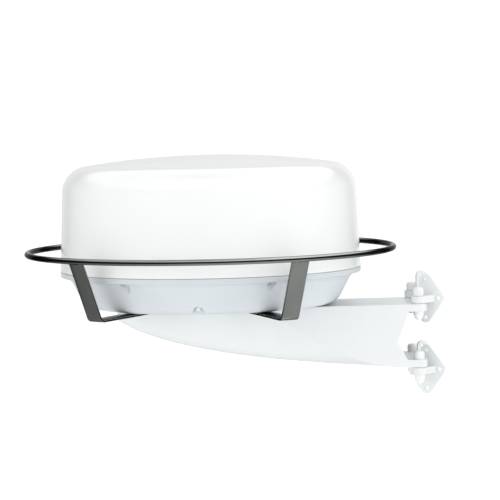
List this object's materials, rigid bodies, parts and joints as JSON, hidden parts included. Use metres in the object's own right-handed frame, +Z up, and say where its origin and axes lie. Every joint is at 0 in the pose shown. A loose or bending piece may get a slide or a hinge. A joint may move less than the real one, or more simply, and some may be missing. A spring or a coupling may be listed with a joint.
{
  "type": "radar dome antenna",
  "caption": "Closed white radar dome on a grey base, ringed by a steel guard hoop on bent straps, carried by a hollow white arm with hinged feet for a mast.",
  "frame": {"origin": "on the mast's axis, level with the arm's top face, which carries the dome", "axes": "+Z up along the mast, +X from the dome towards the mast, -Y to the side that the picture shows"},
  "size_m": [0.706, 0.63, 0.4104],
  "materials": {
    "radome_white": "smooth gloss",
    "base_paint": "satin paint",
    "arm_paint": "fine powder coat",
    "polished_steel": "polished stainless",
    "fastener_steel": "plain stainless",
    "white_nylon": "natural nylon",
    "black_rubber": "matte",
    "dark_plastic": "moulded",
    "motor_steel": "black",
    "brass": "machined",
    "alloy": "machined",
    "circuit_board": "solder mask"
  },
  "bodies": {
    "root": {"radome_cover": "radome_white", "base_housing": "base_paint", "perimeter_gasket": "black_rubber", "cover_screws": "fastener_steel", "cover_inserts": "brass", "vent_plug": "white_nylon", "power_inlet": "dark_plastic", "network_inlet": "dark_plastic", "mount_inserts": "fastener_steel", "chassis_plate": "alloy", "chassis_screws": "fastener_steel", "bearing_housing": "alloy", "housing_screws": "fastener_steel", "lower_bearing": "fastener_steel", "upper_bearing": "fastener_steel", "heading_sensor": "circuit_board", "drive_motor": "motor_steel", "motor_screws": "fastener_steel", "rotary_joint": "alloy", "transceiver_case": "alloy", "transceiver_lid": "alloy", "power_board": "circuit_board", "control_board": "circuit_board", "board_standoffs": "brass", "board_screws": "fastener_steel", "guard_ring": "polished_steel", "guard_strap_1": "polished_steel", "guard_strap_2": "polished_steel", "guard_strap_3": "polished_steel", "guard_strap_4": "polished_steel", "guard_welds": "polished_steel", "arm_hull": "arm_paint", "arm_top_plate": "arm_paint", "arm_tail_plate": "arm_paint", "cable_grommet": "black_rubber", "radar_bolts": "fastener_steel", "radar_washers": "fastener_steel", "hinge_bolts": "fastener_steel", "hinge_nuts": "fastener_steel", "hinge_caps": "white_nylon", "nut_covers": "white_nylon", "thrust_washers": "white_nylon"},
    "antenna": {"antenna_shaft": "fastener_steel", "antenna_hub": "alloy", "drive_gear": "white_nylon", "heading_magnet": "motor_steel", "antenna_carrier": "alloy", "carrier_screws": "fastener_steel", "antenna_array": "circuit_board"},
    "pinion": {"motor_shaft": "fastener_steel", "motor_pinion": "brass"},
    "foot_1": {"mast_foot_1": "arm_paint", "foot_bush_1": "white_nylon"},
    "foot_2": {"mast_foot_2": "arm_paint", "foot_bush_2": "white_nylon"},
    "foot_3": {"mast_foot_3": "arm_paint", "foot_bush_3": "white_nylon"},
    "foot_4": {"mast_foot_4": "arm_paint", "foot_bush_4": "white_nylon"}
  },
  "joints": [
    {"name": "antenna_spin", "type": "hinge", "parent": "root", "child": "antenna", "pos_m": [-0.387, 0, 0.07], "axis": [0, 0, 1], "continuous": true},
    {"name": "pinion_spin", "type": "hinge", "parent": "root", "child": "pinion", "pos_m": [-0.33117, -0.00685, 0.07], "axis": [0, 0, 1], "continuous": true},
    {"name": "foot_turn_1", "type": "hinge", "parent": "root", "child": "foot_1", "pos_m": [-0.041, -0.064, 0.00715], "axis": [0, 0, 1], "range_deg": [-20, 30]},
    {"name": "foot_turn_2", "type": "hinge", "parent": "root", "child": "foot_2", "pos_m": [-0.041, 0.064, 0.00715], "axis": [0, 0, -1], "range_deg": [-20, 30]},
    {"name": "foot_turn_3", "type": "hinge", "parent": "root", "child": "foot_3", "pos_m": [-0.041, -0.064, -0.11315], "axis": [0, 0, 1], "range_deg": [-20, 30]},
    {"name": "foot_turn_4", "type": "hinge", "parent": "root", "child": "foot_4", "pos_m": [-0.041, 0.064, -0.11315], "axis": [0, 0, -1], "range_deg": [-20, 30]}
  ],
  "couplings": [
    {"joint": "pinion_spin", "follows": "antenna_spin", "ratio": -4}
  ]
}
